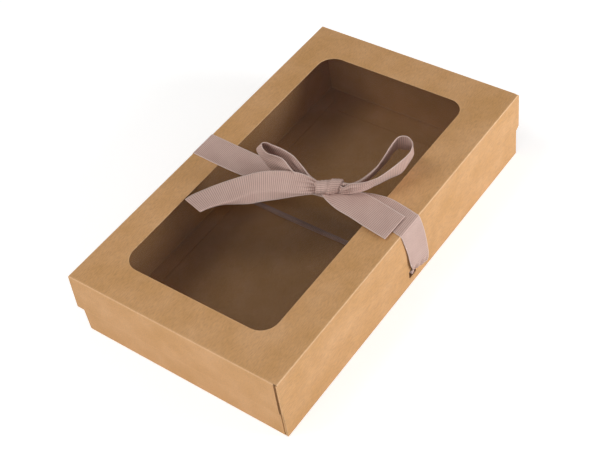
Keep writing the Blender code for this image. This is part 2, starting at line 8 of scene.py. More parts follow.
import bmesh
import bpy
from mathutils import Matrix, Vector
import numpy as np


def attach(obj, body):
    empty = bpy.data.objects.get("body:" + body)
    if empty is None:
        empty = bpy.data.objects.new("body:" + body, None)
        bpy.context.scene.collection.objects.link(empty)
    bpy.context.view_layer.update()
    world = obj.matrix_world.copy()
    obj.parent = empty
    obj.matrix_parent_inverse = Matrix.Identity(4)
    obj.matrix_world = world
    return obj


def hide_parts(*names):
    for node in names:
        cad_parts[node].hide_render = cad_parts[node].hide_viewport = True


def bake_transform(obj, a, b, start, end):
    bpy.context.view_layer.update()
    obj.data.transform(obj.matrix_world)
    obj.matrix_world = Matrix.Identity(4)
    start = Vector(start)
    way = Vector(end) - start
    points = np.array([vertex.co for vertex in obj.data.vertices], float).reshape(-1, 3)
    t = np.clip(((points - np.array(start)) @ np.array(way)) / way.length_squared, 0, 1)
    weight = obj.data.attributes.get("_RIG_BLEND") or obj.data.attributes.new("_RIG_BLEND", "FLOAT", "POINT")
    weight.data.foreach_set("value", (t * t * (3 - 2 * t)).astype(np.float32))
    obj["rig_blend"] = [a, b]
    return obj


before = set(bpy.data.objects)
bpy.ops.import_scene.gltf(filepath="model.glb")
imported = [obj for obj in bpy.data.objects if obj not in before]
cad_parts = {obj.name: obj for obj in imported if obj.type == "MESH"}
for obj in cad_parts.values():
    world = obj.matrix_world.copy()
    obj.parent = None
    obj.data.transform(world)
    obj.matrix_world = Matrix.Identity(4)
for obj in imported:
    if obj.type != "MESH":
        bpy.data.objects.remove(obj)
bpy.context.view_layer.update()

MM = 0.001

# Sizes in metres, as the CAD has them. X runs along the box to its near end, Y to its back wall
BOARD = 0.0005
GAP = 0.0003  # between boards that lie together
LID_X = 0.165  # half the lid's length
LID_Y = 0.0965  # half the lid's width
HEIGHT = 0.062
LID_FOOT = 0.0257  # where the lid's walls end
# How far the lid's walls lean out at their feet
FRONT_FLARE = 0.0020
FAR_FLARE = 0.0024
NEAR_FLARE = 0.0004
# The window and the ribbon's slots: their middle, half sizes and corner radius
WINDOW = (0, -0.002, 0.1347, 0.068, 0.0145)
SLOT = (0, 0.0115, 0.0047, 0.0040, 0.0012)
# The base's outer faces, and where its end walls stop before the back wall
NEAR_FACE = 0.1642
FAR_FACE = -0.1609
FRONT_FACE = -0.0937
END_BACK = 0.0935
# The hollow walls: their top, their widths, and the top of the flaps at their feet
RIM_TOP = 0.0609
END_RIM = 0.0049
FRONT_RIM = 0.0054
FLAP_TOP = 0.0013
# The back wall widens here to the lid's length
STEP = 0.0257
STEP_RISE = 0.0025
RIBBON_WIDTH = 0.025
RIBBON = 0.0005
STRAP_BULGE = 0.0012
STRAP_DRIFT = 0.0072
STRAND_WIDTH = 0.0034
STRAND_SAG = 0.0008
STRAND_ROLL = 0.0004
STRAND_END = 0.0002  # past the walls' outer faces
# The knot's middle as the CAD has it, and where its slimmer cloth lies
KNOT = Vector((-0.0006, 0.025, 0.069))
KNOT_LIES = KNOT - Vector((0, 0, 0.0008))
KNOT_WIDTH = 0.0126
KNOT_HEIGHT = 0.0118
KNOT_TURN = math.radians(35.5)
KNOT_AXIS = Vector((-math.sin(KNOT_TURN), math.cos(KNOT_TURN), 0))
KNOT_SIDE = Vector((math.cos(KNOT_TURN), math.sin(KNOT_TURN), 0))
UP = Vector((0, 0, 1))
REST = 0.06255  # the ribbon's height on the lid

# Creases and smoothness
CREASE = 0.0008
INNER_CREASE = 0.0003
ARC = 6  # steps in a quarter turn
STEPS_X = 40
STEPS_Y = 24
WALL_START = 0.0015  # the first row of a wall, above the floor's crease
SHARP = math.radians(32)
WELD = 0.000002
SLOT_CUT = 0.002  # how far a slot's cutter reaches to each side of a wall's face
CLOTH = 0.0004
LIFT = 0.00005  # between the ribbon and the board under it
ACROSS = 28  # steps across the ribbon
EDGE_STEPS = 8
FOLD_ROUND = 0.0009
GATHERED = 0.85  # the share of its width that a pleated ribbon's waves take up
RIB_PITCH = 0.0015
# The selvedge's painted highlight: where it starts and where it is full
SELVEDGE_HIGHLIGHT = (0.0009, 0.0005)  # how far from the ribbon's edge it starts and is full

# How pale each step of a crease's turn is painted: partly rubbed board, partly a painted highlight
LID_WEAR_AND_HIGHLIGHT = (0.15, 0.6, 0.9, 1, 0.9, 0.6, 0.2)
HINGE_WEAR_AND_HIGHLIGHT = (0.2, 0.7, 1, 1, 1, 0.7, 0.2)
BASE_WEAR_AND_HIGHLIGHT = (0.1, 0.3, 0.5, 0.5, 0.5, 0.3, 0.1)
# Rings from the window's edge to the lid's, and rows down the lid's walls: how far, and how much wear and
# painted highlight
WINDOW_RINGS = ((0, 0.35), (0.015, 0.1), (0.05, 0), (0.35, 0), (0.65, 0), (0.95, 0), (1, 0.15))
LID_WALL_ROWS = ((0.03, 0), (0.3, 0), (0.6, 0), (0.97, 0), (1, 0.3))

# A strap into its slot, in shares: down the wall, below its foot, of the drift aside, of the
# ribbon's width, of the bulge off the wall, in to the slot's mouth, and of the slant
STRAP_ROWS = (
    (0.00, 0.00, 0.0, 1.00, 0.0, 0.0, 0.0),
    (0.33, 0.00, 0.5, 1.00, 0.1, 0.0, 0.0),
    (0.67, 0.00, 0.9, 0.98, 0.4, 0.0, 0.0),
    (1.00, 0.00, 1.0, 0.94, 1.2, 0.0, 0.2),
    (1.00, 0.45, 1.0, 0.84, 1.8, 0.0, 0.6),
    (1.00, 0.80, 0.9, 0.66, 1.7, 0.1, 1.0),
    (1.00, 0.90, 0.5, 0.44, 1.0, 0.7, 0.5),
    (1.00, 0.88, 0.1, 0.36, 0.4, 1.0, 0.0),
)

# The run over the lid: how far along, then how far aside and how wide in ribbon widths
TOP_RUN = (
    (-1.000, 0.17, 1.00),
    (-0.720, 0.21, 1.00),
    (-0.440, 0.22, 0.96),
    (-0.160, 0.15, 0.82),
    (0.060, 0.05, 0.62),
    (0.280, -0.04, 0.52),
    (0.500, -0.15, 0.78),
    (0.700, -0.21, 0.98),
    (0.860, -0.14, 1.00),
    (1.000, -0.04, 1.00),
)

# The bow, in millimetres from the knot's middle, fitted to its edges in the photograph with the
# ribbon's width kept. Each row crosses the ribbon from edge to edge, and its middle point, where
# there is one, is on a fold
LEFT_LOOP = (
    (4.5, -6.0, 1.5, 4.5, -6.0, -0.7, 4.5, -6.0, -3.0),
    (3.5, -15.4, 1.8, 3.9, -16.6, -1.8, 4.4, -17.8, -5.6),
    (5.2, -21.2, 4.4, 5.4, -24.9, -0.6, 6.0, -27.6, -6.0),
    (6.7, -29.1, 11.6, 7.2, -34.2, 3.0, 7.2, -39.4, -5.6),
    (5.8, -36.1, 16.5, 6.0, -42.9, 6.8, 5.7, -49.7, -2.9),
    (7.5, -42.1, 18.9, 5.2, -50.2, 9.7, 3.2, -58.5, 0.6),
    (9.4, -47.7, 20.3, 5.3, -56.3, 12.2, 1.3, -65.1, 4.3),
    (8.9, -52.1, 23.0, 4.1, -60.1, 14.7, -0.9, -68.2, 6.6),
    (6.6, -54.1, 25.5, 1.3, -60.8, 17.1, -4.4, -67.6, 7.6),
    (4.1, -51.7, 25.2, -0.7, -57.4, 16.4, -4.7, -64.5, 5.7),
    (2.4, -46.9, 23.3, -0.7, -52.6, 13.7, -4.2, -59.7, 2.8),
    (0.1, -39.7, 20.2, -0.1, -46.1, 10.0, -3.0, -52.0, -0.6),
    (-1.3, -31.7, 15.9, -0.5, -37.7, 5.6, -1.7, -41.9, -3.4),
    (-1.0, -24.3, 9.0, -0.3, -27.7, 1.8, -0.5, -30.5, -5.7),
    (0.1, -17.0, 1.7, 0.1, -18.1, -2.2, 0.2, -19.0, -5.9),
    (3.5, -6.0, 1.5, 3.5, -6.0, -0.7, 3.5, -6.0, -3.0),
)
RIGHT_LOOP = (
    (-4.0, 6.0, 2.5, -4.0, 6.0, -2.0),
    (-1.9, 11.6, 1.8, -2.3, 9.7, -4.0),
    (-2.9, 18.9, 7.9, -4.4, 15.8, -3.6),
    (-5.9, 24.6, 8.8, -9.5, 20.0, -4.6),
    (-9.2, 30.1, 10.5, -15.5, 23.6, -5.9),
    (-16.3, 36.0, 12.7, -24.3, 28.2, -6.1),
    (-24.8, 40.4, 15.2, -34.2, 32.6, -6.1),
    (-33.9, 43.4, 16.8, -43.1, 37.4, -5.7),
    (-41.3, 45.6, 18.6, -52.5, 38.4, -2.6),
    (-46.7, 45.9, 20.5, -59.0, 38.5, 0.1),
    (-50.5, 44.6, 22.8, -61.8, 36.4, 2.1),
    (-52.2, 40.2, 25.0, -60.3, 33.2, 2.4),
    (-51.2, 35.9, 25.5, -58.3, 29.3, 2.5),
    (-47.7, 33.0, 25.3, -56.6, 26.2, 3.0),
    (-41.4, 31.6, 22.7, -52.3, 24.3, 1.4),
    (-34.2, 30.6, 18.5, -45.2, 23.6, -1.7),
    (-28.4, 29.1, 14.1, -37.8, 22.4, -3.5),
    (-22.9, 26.5, 9.7, -30.1, 20.7, -4.6),
    (-15.9, 22.0, 4.6, -20.7, 17.7, -5.6),
    (-9.3, 16.3, 1.8, -12.6, 12.6, -5.0),
    (-6.2, 10.1, 2.2, -7.1, 7.9, -4.0),
    (-4.5, 6.0, 2.0, -4.5, 6.0, -2.0),
)
LEFT_TAIL = (
    (3.5, -6.0, 1.5, 4.5, -5.0, -1.5, 4.6, -5.0, -2.5),
    (2.0, -9.8, 3.2, 9.2, -7.0, -1.6, 10.0, -7.6, -3.2),
    (2.5, -15.8, 4.8, 14.9, -11.5, -0.8, 14.9, -12.3, -2.6),
    (5.4, -24.7, 7.6, 19.4, -20.1, 0.2, 20.3, -20.2, -3.7),
    (10.7, -35.8, 8.7, 24.3, -29.7, 1.3, 26.5, -29.2, -5.2),
    (18.0, -48.5, 8.1, 30.7, -40.0, 2.1, 34.1, -38.8, -5.6),
    (26.7, -59.9, 5.6, 38.7, -48.6, 1.2, 41.1, -47.1, -6.1),
    (35.4, -71.5, 1.6, 47.2, -55.9, -1.2, 46.6, -55.6, -5.7),
    (44.0, -82.0, -2.6, 55.1, -63.4, -1.9, 54.0, -63.7, -4.0),
    (55.3, -90.4, -4.7, 63.4, -69.9, -2.4, 62.6, -70.1, -3.7),
    (61.8, -92.9, -5.4, 68.5, -72.2, -2.0, 67.7, -72.2, -3.4),
)
RIGHT_TAIL = (
    (6.4, -3.4, -4.0, -4.8, 11.4, -4.0),
    (9.5, 3.2, -4.6, -8.5, 18.5, -4.6),
    (13.2, 15.2, -5.0, -10.4, 24.5, -5.0),
    (15.1, 29.2, -5.2, -10.4, 34.0, -5.2),
    (18.0, 45.4, -5.2, -8.2, 47.5, -5.2),
    (20.7, 63.8, -5.2, -5.5, 64.4, -5.2),
)

# Across a turn of the knot: how far along the knot's axis, and how far out
KNOT_PROFILE = (
    (0.36, 0.70), (0.24, 0.60), (0.10, 0.52), (0.01, 0.62), (0.00, 0.80), (0.05, 0.93),
    (0.16, 1.02), (0.27, 0.93), (0.38, 1.04), (0.50, 0.94), (0.62, 1.04), (0.73, 0.93),
    (0.84, 1.02), (0.94, 0.93), (1.00, 0.80), (0.99, 0.62), (0.90, 0.52), (0.76, 0.60),
    (0.64, 0.70),
)

# The room. Each lamp has its place, size, power and colour
WORLD_LIGHT = 0.27
FLOOR_GLOW = 0.5
FLOOR_RADIUS = 4
FLOOR_DROP = 0.0002
AIM = Vector((0, 0, 0.03))
LAMPS = {
    "key": ((-0.6, 1.25, 0.4), 0.7, 16, (0.96, 0.98, 1)),
    "fill": ((1.2, 0.1, 0.28), 0.9, 6.5, (1, 1, 1)),
    "overhead": ((0.55, -0.6, 1.3), 0.8, 7, (1, 0.98, 0.95)),
}

# The camera of the photograph, worked out from the box's corners
CAMERA_PLACE = Vector((0.4958, 0.45091, 0.72251))
CAMERA_RIGHT = Vector((-0.578952, 0.806636, -0.118964))
CAMERA_DOWN = Vector((0.641462, 0.360532, -0.677158))
CAMERA_AHEAD = Vector((-0.50333, -0.468353, -0.726158))
CAMERA_LENS = 73.377
CAMERA_SENSOR = 36


def placed(name, data):
    """An object that shows this data, in the scene."""
    made = bpy.data.objects.new(name, data)
    bpy.context.scene.collection.objects.link(made)
    return made


def mesh_of(name, bm, *materials):
    """A mesh of a bmesh's faces, with these materials. The bmesh is freed."""
    mesh = bpy.data.meshes.new(name)
    bm.to_mesh(mesh)
    bm.free()
    for used in materials:
        mesh.materials.append(used)
    return mesh


# Materials

def rgb(code):
    """A screen colour, as a linear colour with alpha."""
    parts = [int(code[i:i + 2], 16) / 255 for i in (0, 2, 4)]
    return (*[c / 12.92 if c <= 0.04045 else ((c + 0.055) / 1.055) ** 2.4 for c in parts], 1)


def add(tree, kind, inputs=None, stops=None, **settings):
    """A shader node with its settings, its inputs set or linked, and a ramp's stops."""
    made = tree.nodes.new("ShaderNode" + kind)
    for key, value in settings.items():
        setattr(made, key, value)
    for key, value in (inputs or {}).items():
        if isinstance(value, bpy.types.NodeSocket):
            tree.links.new(value, made.inputs[key])
        else:
            made.inputs[key].default_value = value
    if stops:
        ramp = made.color_ramp
        while len(ramp.elements) < len(stops):
            ramp.elements.new(1)
        for element, (place, colour) in zip(ramp.elements, stops):
            element.position = place
            element.color = colour
    return made


def material(name, colour, roughness, specular):
    """A material with a Principled shader, and its tree and shader."""
    made = bpy.data.materials.new(name)
    made.use_nodes = True
    tree = made.node_tree
    shader = tree.nodes["Principled BSDF"]
    shader.inputs["Base Color"].default_value = colour
    shader.inputs["Roughness"].default_value = roughness
    shader.inputs["Specular IOR Level"].default_value = specular
    return made, tree, shader


def kraft_board():
    """Unbleached kraft board, dull and fibrous: a warm brown with cloudy pulp, fine flecks and
    long fibres, and a paler line over each crease, partly stretched surface and partly a painted highlight."""
    made, tree, shader = material("kraft_board_unbleached_matt", rgb("C99A6C"), 0.62, 0.25)
    place = add(tree, "TexCoord").outputs["Object"]
    # Pulp clouds about 25 mm across
    cloud = add(tree, "TexNoise", {"Vector": place, "Scale": 40, "Detail": 3, "Roughness": 0.55})
    pulp = add(tree, "ValToRGB", {"Fac": cloud.outputs["Fac"]},
               stops=[(0.3, rgb("C2935F")), (0.52, rgb("C99A69")), (0.75, rgb("D0A274"))])
    # Fibres about 3 mm long and 0.6 mm wide, drawn coarser than real ones so that they show
    along = add(tree, "Mapping", {"Vector": place, "Scale": (300, 1600, 1600)})
    fibre = add(tree, "TexNoise", {"Vector": along.outputs["Vector"], "Scale": 1, "Detail": 4})
    fibres = add(tree, "ValToRGB", {"Fac": fibre.outputs["Fac"]},
                 stops=[(0.32, (0.86, 0.86, 0.86, 1)), (0.5, (1, 1, 1, 1)),
                        (0.7, (1.1, 1.09, 1.07, 1))])
    toned = add(tree, "Mix", {0: 1.0, 6: pulp.outputs["Color"], 7: fibres.outputs["Color"]},
                data_type="RGBA", blend_type="MULTIPLY")
    # Flecks of bark under 1 mm
    fleck = add(tree, "TexVoronoi", {"Vector": place, "Scale": 420, "Randomness": 1})
    spots = add(tree, "ValToRGB", {"Fac": fleck.outputs["Distance"]},
                stops=[(0.06, (1, 1, 1, 1)), (0.14, (0, 0, 0, 1))])
    rare = add(tree, "Math", {0: fleck.outputs["Color"], 1: 0.72}, operation="GREATER_THAN")
    share = add(tree, "Math", {0: spots.outputs["Color"], 1: rare.outputs["Value"]},
                operation="MULTIPLY")
    faint = add(tree, "Math", {0: share.outputs["Value"], 1: 0.35}, operation="MULTIPLY")
    flecked = add(tree, "Mix", {0: faint.outputs["Value"], 6: toned.outputs[2], 7: rgb("8A6238")},
                  data_type="RGBA")
    # Creases and edges painted paler, partly rubbed board and partly a painted highlight, broken up by the
    # fibres
    wear_and_highlight = add(tree, "Attribute", attribute_name="wear_and_highlight").outputs["Fac"]
    rub_and_highlight = add(tree, "MapRange", {"Value": fibre.outputs["Fac"], "From Min": 0.3, "From Max": 0.7,
                                 "To Min": 0.55, "To Max": 1.0})
    rubbed_and_highlit = add(tree, "Math", {0: wear_and_highlight, 1: rub_and_highlight.outputs["Result"]}, operation="MULTIPLY")
    final = add(tree, "Mix", {0: rubbed_and_highlit.outputs["Value"], 6: flecked.outputs[2], 7: rgb("E6BD92")},
                data_type="RGBA")
    tree.links.new(final.outputs[2], shader.inputs["Base Color"])
    rough = add(tree, "MapRange", {"Value": fibre.outputs["Fac"], "To Min": 0.52, "To Max": 0.72})
    tree.links.new(rough.outputs["Result"], shader.inputs["Roughness"])
    bump = add(tree, "Bump", {"Height": fibre.outputs["Fac"], "Strength": 0.35,
                              "Distance": 0.00012})
    tree.links.new(bump.outputs["Normal"], shader.inputs["Normal"])
    return made


def cut_edge():
    """The board's cut edge: torn pale fibres, rougher and lighter than the face."""
    made, tree, shader = material("kraft_board_cut_edge_raw", rgb("D8B488"), 0.9, 0.2)
    place = add(tree, "TexCoord").outputs["Object"]
    # Ragged fibre ends about 0.5 mm across
    ragged = add(tree, "TexNoise", {"Vector": place, "Scale": 2000, "Detail": 2})
    tone = add(tree, "ValToRGB", {"Fac": ragged.outputs["Fac"]},
               stops=[(0.35, rgb("BF9466")), (0.65, rgb("E3C49C"))])
    tree.links.new(tone.outputs["Color"], shader.inputs["Base Color"])
    bump = add(tree, "Bump", {"Height": ragged.outputs["Fac"], "Strength": 0.4, "Distance": 0.0001})
    tree.links.new(bump.outputs["Normal"], shader.inputs["Normal"])
    return made


def clear_film():
    """Clear plastic film, glossy and nearly invisible: a faint dark tint with soft waves in it."""
    made, tree, shader = material("clear_film_gloss", rgb("2A211B"), 0.06, 0.15)
    shader.inputs["IOR"].default_value = 1.57
    shader.inputs["Alpha"].default_value = 0.18
    place = add(tree, "TexCoord").outputs["Object"]
    # Film ripples about 60 mm across, and a haze of rub marks about 3 mm across
    ripple = add(tree, "TexNoise", {"Vector": place, "Scale": 16, "Detail": 1})
    haze = add(tree, "TexNoise", {"Vector": place, "Scale": 300, "Detail": 3})
    rough = add(tree, "MapRange", {"Value": haze.outputs["Fac"], "To Min": 0.04, "To Max": 0.12})
    tree.links.new(rough.outputs["Result"], shader.inputs["Roughness"])
    tint = add(tree, "ValToRGB", {"Fac": haze.outputs["Fac"]},
               stops=[(0.3, rgb("241C16")), (0.7, rgb("2E251F"))])
    tree.links.new(tint.outputs["Color"], shader.inputs["Base Color"])
    bump = add(tree, "Bump", {"Height": ripple.outputs["Fac"], "Strength": 0.5, "Distance": 0.0006})
    tree.links.new(bump.outputs["Normal"], shader.inputs["Normal"])
    return made


def grosgrain():
    """Woven grosgrain ribbon in dusty mauve: close ribs painted with shade and highlight, a soft sheen, and
    a firm selvedge painted paler as a highlight.
    """
    made, tree, shader = material("grosgrain_ribbon_dusty_mauve", rgb("C3A499"), 0.62, 0.3)
    shader.inputs["Sheen Weight"].default_value = 0.25
    shader.inputs["Sheen Roughness"].default_value = 0.5
    shader.inputs["Sheen Tint"].default_value = rgb("F2E4DC")
    cloth = add(tree, "UVMap", uv_map="cloth").outputs["UV"]
    place = add(tree, "TexCoord").outputs["Object"]
    parts = add(tree, "SeparateXYZ", {"Vector": cloth})
    # A rib every 1.5 mm along the ribbon, drawn coarser than the real 0.9 mm so that it shows
    turns = add(tree, "Math", {0: parts.outputs["Y"], 1: 2 * math.pi / RIB_PITCH},
                operation="MULTIPLY")
    wave = add(tree, "Math", {0: turns.outputs["Value"]}, operation="SINE")
    rib = add(tree, "MapRange", {"Value": wave.outputs["Value"], "From Min": -1.0,
                                 "From Max": 1.0})
    # Warp threads 0.25 mm apart, and dye clouds about 15 mm across
    thread = add(tree, "Mapping", {"Vector": cloth, "Scale": (4000, 500, 1)})
    warp = add(tree, "TexNoise", {"Vector": thread.outputs["Vector"], "Scale": 1, "Detail": 1})
    dye = add(tree, "TexNoise", {"Vector": place, "Scale": 70, "Detail": 2})
    base = add(tree, "ValToRGB", {"Fac": dye.outputs["Fac"]},
               stops=[(0.3, rgb("BFA095")), (0.7, rgb("C8AA9F"))])
    # Rib valleys painted darker as shade and rib tops painted lighter as a highlight, on top of the bump
    painted_rib_shading = add(tree, "ValToRGB", {"Fac": rib.outputs["Result"]},
                stops=[(0.0, (0.66, 0.64, 0.64, 1)), (0.45, (1, 1, 1, 1)),
                       (1.0, (1.1, 1.1, 1.1, 1))])
    ribbed = add(tree, "Mix", {0: 1.0, 6: base.outputs["Color"], 7: painted_rib_shading.outputs["Color"]},
                 data_type="RGBA", blend_type="MULTIPLY")
    fuzz = add(tree, "MapRange", {"Value": warp.outputs["Fac"], "To Min": 0.86, "To Max": 1.12})
    tinted = add(tree, "VectorMath", {0: ribbed.outputs[2], "Scale": fuzz.outputs["Result"]},
                 operation="SCALE")
    # The selvedge, the last 0.7 mm or so at each side, painted paler as a highlight along the ribbon's edge
    off = add(tree, "Math", {0: parts.outputs["X"]}, operation="ABSOLUTE")
    edge = add(tree, "MapRange", {"Value": off.outputs["Value"],
                                  "From Min": RIBBON_WIDTH / 2 - SELVEDGE_HIGHLIGHT[0],
                                  "From Max": RIBBON_WIDTH / 2 - SELVEDGE_HIGHLIGHT[1]})
    selvedge_highlight = add(tree, "Mix", {0: edge.outputs["Result"], 6: tinted.outputs["Vector"],
                                 7: rgb("CDB6AC")}, data_type="RGBA")
    tree.links.new(selvedge_highlight.outputs[2], shader.inputs["Base Color"])
    height = add(tree, "Math", {0: rib.outputs["Result"], 1: warp.outputs["Fac"]}, operation="ADD")
    bump = add(tree, "Bump", {"Height": height.outputs["Value"], "Strength": 0.6,
                              "Distance": 0.00012})
    tree.links.new(bump.outputs["Normal"], shader.inputs["Normal"])
    return made


KRAFT = kraft_board()
CUT = cut_edge()
FILM = clear_film()
CLOTH_MATERIAL = grosgrain()


# Board

def spaced(first, last, count):
    """Values from first to last in even steps."""
    return [first + (last - first) * i / count for i in range(count + 1)]


def quarter(radius):
    """Steps of a quarter turn: how far across and how far along the turn each step is."""
    turns = [math.pi / 2 * i / ARC for i in range(ARC + 1)]
    return [(radius * math.sin(turn), radius * (1 - math.cos(turn))) for turn in turns]


def grid(bm, rows, outward, closed=False):
    """Faces between rows of points. Each row is its points and how much wear and painted highlight they
    carry.
    """
    layer = bm.verts.layers.float["wear_and_highlight"]
    made = []
    for points, wear_and_highlight in rows:
        row = []
        for point in points:
            vert = bm.verts.new(point)
            vert[layer] = wear_and_highlight
            row.append(vert)
        made.append(row)
    faces = []
    for row, following in zip(made, made[1:]):
        last = len(row) if closed else len(row) - 1
        for j in range(last):
            k = (j + 1) % len(row)
            faces.append(bm.faces.new((row[j], row[k], following[k], following[j])))
    bm.normal_update()
    if faces[0].normal.dot(Vector(outward)) < 0:
        bmesh.ops.reverse_faces(bm, faces=faces)


def new_board():
    """A bmesh for a board, with its wear and painted highlight kept at each point."""
    bm = bmesh.new()
    bm.verts.layers.float.new("wear_and_highlight")
    return bm


def board(name, bm, body, nodes, cutters=()):
    """A folded board: its sheet made BOARD thick inwards, its slots cut and its edges crisp."""
    bmesh.ops.remove_doubles(bm, verts=bm.verts, dist=WELD)
    sheet = placed(name + "_sheet", mesh_of(name, bm, KRAFT, CUT))
    thick = sheet.modifiers.new("thickness", "SOLIDIFY")
    thick.thickness = BOARD
    thick.offset = -1
    thick.material_offset_rim = 1
    for cutter in cutters:
        cut = sheet.modifiers.new("slot", "BOOLEAN")
        cut.operation = "DIFFERENCE"
        cut.solver = "EXACT"
        cut.material_mode = "TRANSFER"
        cut.object = cutter
    bpy.context.view_layer.update()
    finished = sheet.evaluated_get(bpy.context.evaluated_depsgraph_get())
    solid = bpy.data.meshes.new_from_object(finished)
    solid.name = name
    solid.shade_smooth()
    solid.set_sharp_from_angle(angle=SHARP)
    bpy.data.objects.remove(sheet, do_unlink=True)
    made = placed(name, solid)
    if body:
        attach(made, body)
    if nodes:
        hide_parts(*nodes)
    return made


def round_three_sides(flat, levels, xs, ys):
    """Rows round a panel's far, front and near sides. Each level moves them out and to a height."""
    x0, x1, y0, y_end = flat
    rows = []
    for far, near, front, z, wear_and_highlight in levels:
        left, right, edge = x0 - far, x1 + near, y0 - front
        side = [y_end - (y_end - y) * (y_end - edge) / (y_end - y0) for y in ys]
        middle = [left + (x - x0) * (right - left) / (x1 - x0) for x in xs[1:-1]]
        points = [(left, y, z) for y in reversed(side)]
        points += [(x, edge, z) for x in middle]
        points += [(right, y, z) for y in side]
        rows.append((points, wear_and_highlight))
    return rows


def hole_point(point, side, hole, reach):
    """The point of a rounded hole's edge that faces a point on one side of the panel round it."""
    cx, cy, half_x, half_y, radius = hole
    lengthwise = side in (0, 2)
    along = point[0] - cx if lengthwise else point[1] - cy
    outward = -1 if side in (0, 3) else 1
    straight = (half_x if lengthwise else half_y) - radius
    rise = (half_y if lengthwise else half_x) - radius
    turn = 0
    if abs(along) > straight:
        turn = math.pi / 4 * (abs(along) - straight) / (reach - straight)
    run = math.copysign(min(abs(along), straight) + radius * math.sin(turn), along)
    out = outward * (rise + radius * math.cos(turn))
    return (cx + run, cy + out) if lengthwise else (cx + out, cy + run)


def lid_board():
    """The lid: its window panel and three walls, folded from one sheet."""
    flat = (-LID_X + CREASE, LID_X - CREASE, -LID_Y + CREASE, END_BACK)
    back = LID_Y - CREASE
    xs = spaced(flat[0], flat[1], STEPS_X)
    ys = spaced(flat[2], flat[3], STEPS_Y)
    loop = [((x, flat[2]), 0) for x in xs]
    loop += [((flat[1], y), 1) for y in [*ys[1:], END_BACK + GAP, back]]
    loop += [((x, back), 2) for x in reversed(xs[1:-1])]
    loop += [((flat[0], y), 3) for y in [back, END_BACK + GAP, *ys[:0:-1]]]
    reaches = {0: LID_X, 1: LID_Y, 2: LID_X, 3: LID_Y}
    inner = [hole_point(point, side, WINDOW, reaches[side]) for point, side in loop]
    rows = []
    for share, wear_and_highlight in WINDOW_RINGS:
        points = [(a[0] + (b[0] - a[0]) * share, a[1] + (b[1] - a[1]) * share, HEIGHT)
                  for a, (b, _) in zip(inner, loop)]
        rows.append((points, wear_and_highlight))
    bm = new_board()
    grid(bm, rows, (0, 0, 1), closed=True)
    levels = [(out, out, out, HEIGHT - down, rub_and_highlight)
              for (out, down), rub_and_highlight in zip(quarter(CREASE), LID_WEAR_AND_HIGHLIGHT)]
    for share, wear_and_highlight in LID_WALL_ROWS:
        z = HEIGHT - CREASE + (LID_FOOT - HEIGHT + CREASE) * share
        levels.append((CREASE + FAR_FLARE * share, CREASE + NEAR_FLARE * share,
                       CREASE + FRONT_FLARE * share, z, wear_and_highlight))
    grid(bm, round_three_sides(flat, levels, xs, ys), (0, 0, 1))
    nodes = ["lid_panel", "lid_front_wall", "lid_end_wall_near", "lid_end_wall_far"]
    board("lid_board", bm, "lid", nodes)


def hinge_crease():
    """The lid's crease on the back wall, which bends as the lid opens."""
    bm = new_board()
    xs = spaced(-LID_X + CREASE, LID_X - CREASE, STEPS_X)
    rows = [([(x, LID_Y - CREASE + out, HEIGHT - down) for x in xs], rub_and_highlight)
            for (out, down), rub_and_highlight in zip(quarter(CREASE), HINGE_WEAR_AND_HIGHLIGHT)]
    grid(bm, rows, (0, 0, 1))
    made = board("hinge_crease", bm, None, [])
    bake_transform(made, "lid", "base", start=(0, LID_Y - CREASE, HEIGHT),
             end=(0, LID_Y, HEIGHT - CREASE))


def slot_cutter(front, back):
    """A rounded prism that cuts the ribbon's slot, from y front to y back."""
    cx, cz, half_x, half_z, radius = SLOT
    outline = []
    for quarter_turns, (sx, sz) in enumerate(((1, 1), (-1, 1), (-1, -1), (1, -1))):
        for i in range(ARC + 1):
            turn = math.pi / 2 * (quarter_turns + i / ARC)
            outline.append((cx + sx * (half_x - radius) + radius * math.cos(turn),
                            cz + sz * (half_z - radius) + radius * math.sin(turn)))
    bm = bmesh.new()
    rows = [[bm.verts.new((x, y, z)) for x, z in outline] for y in (front, back)]
    count = len(outline)
    for j in range(count):
        k = (j + 1) % count
        bm.faces.new((rows[0][j], rows[0][k], rows[1][k], rows[1][j]))
    bm.faces.new(rows[0])
    bm.faces.new(list(reversed(rows[1])))
    bmesh.ops.recalc_face_normals(bm, faces=bm.faces)
    return placed("slot_cutter", mesh_of("slot_cutter", bm, CUT))


